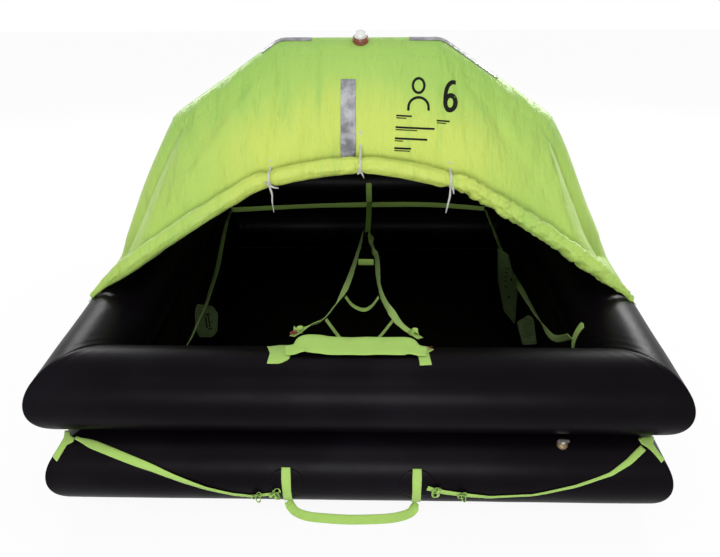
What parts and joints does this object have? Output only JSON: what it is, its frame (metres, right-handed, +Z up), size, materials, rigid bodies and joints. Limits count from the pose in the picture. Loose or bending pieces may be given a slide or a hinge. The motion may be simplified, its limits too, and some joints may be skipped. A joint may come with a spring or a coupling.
{
  "type": "inflatable liferaft",
  "caption": "Canopied rectangular liferaft standing inflated: stacked buoyancy tubes, arch-held canopy with its door rolled up, boarding ladder, lifelines, ridge light and gas cylinder.",
  "frame": {"origin": "centre of the raft floor's underside, on the surface that the raft stands on", "axes": "+Z up, door and boarding ladder towards -Y, +X to the right seen from in front of the door"},
  "size_m": [1.91, 2.2849, 1.3078],
  "materials": {
    "black_coated_fabric": "satin black polyurethane-coated tube fabric",
    "lime_canopy_cloth": "lime green coated canopy cloth",
    "lime_webbing": "lime green woven webbing",
    "white_tape": "white woven tape",
    "retro_reflective": "silver retro-reflective tape",
    "light_base_plastic": "orange-red moulded base",
    "light_lens": "pale moulded lens",
    "olive_card": "olive printed card",
    "valve_plastic": "black moulded valve",
    "valve_brass": "brass valve body",
    "valve_metal": "bright metal handle",
    "cylinder_paint": "grey painted steel cylinder",
    "hose_rubber": "black rubber hose"
  },
  "bodies": {
    "raft": {"boarding_band": "lime_webbing", "boarding_tabs": "lime_webbing", "canopy": "lime_canopy_cloth", "canopy_arch": "black_coated_fabric", "cylinder_straps": "lime_webbing", "door_roll": "lime_canopy_cloth", "door_tie_left": "white_tape", "door_tie_middle": "white_tape", "door_tie_right": "white_tape", "gas_cylinder": "cylinder_paint", "gas_hoses": "hose_rubber", "grab_line_left": "lime_webbing", "grab_line_right": "lime_webbing", "grab_tabs": "lime_webbing", "inlet_valves": "valve_plastic", "instruction_card_front": "olive_card", "instruction_card_left": "olive_card", "instruction_card_rear": "olive_card", "ladder_anchor_tab": "lime_webbing", "ladder_head_strap": "lime_webbing", "ladder_leg_left": "lime_webbing", "ladder_leg_right": "lime_webbing", "ladder_rung_bottom": "lime_webbing", "ladder_rung_middle": "lime_webbing", "ladder_rung_top": "lime_webbing", "lifeline_left": "lime_webbing", "lifeline_rear": "lime_webbing", "lifeline_right": "lime_webbing", "lifeline_tabs": "lime_webbing", "lower_buoyancy_tube": "black_coated_fabric", "lower_valve_body": "valve_brass", "operating_head": "valve_metal", "raft_floor": "black_coated_fabric", "reflective_strip_front": "retro_reflective", "reflective_strip_left": "retro_reflective", "reflective_strip_right": "retro_reflective", "relief_valves": "valve_plastic", "ridge_light_base": "light_base_plastic", "ridge_light_dome": "light_lens", "step_doublers": "black_coated_fabric", "step_strap": "lime_webbing", "step_tabs": "lime_webbing", "upper_buoyancy_tube": "black_coated_fabric", "upper_valve_body": "valve_plastic"},
    "front_valve_handle": {"lower_valve_plug": "valve_metal"},
    "rear_valve_handle": {"upper_valve_plug": "valve_metal"},
    "pin": {"pull_pin": "valve_metal"}
  },
  "joints": [
    {"name": "front_valve_turn", "type": "hinge", "parent": "raft", "child": "front_valve_handle", "pos_m": [0.61, -1.04225, 0.23605], "axis": [0, -0.5, 0.866], "range_deg": [0, 90]},
    {"name": "rear_valve_turn", "type": "hinge", "parent": "raft", "child": "rear_valve_handle", "pos_m": [-0.61, 1.0995, 0.37963], "axis": [0, 1, 0], "range_deg": [0, 90]},
    {"name": "firing_pin_pull", "type": "slide", "parent": "raft", "child": "pin", "axis": [0, 1, 0], "range_m": [0, 0.04]}
  ]
}
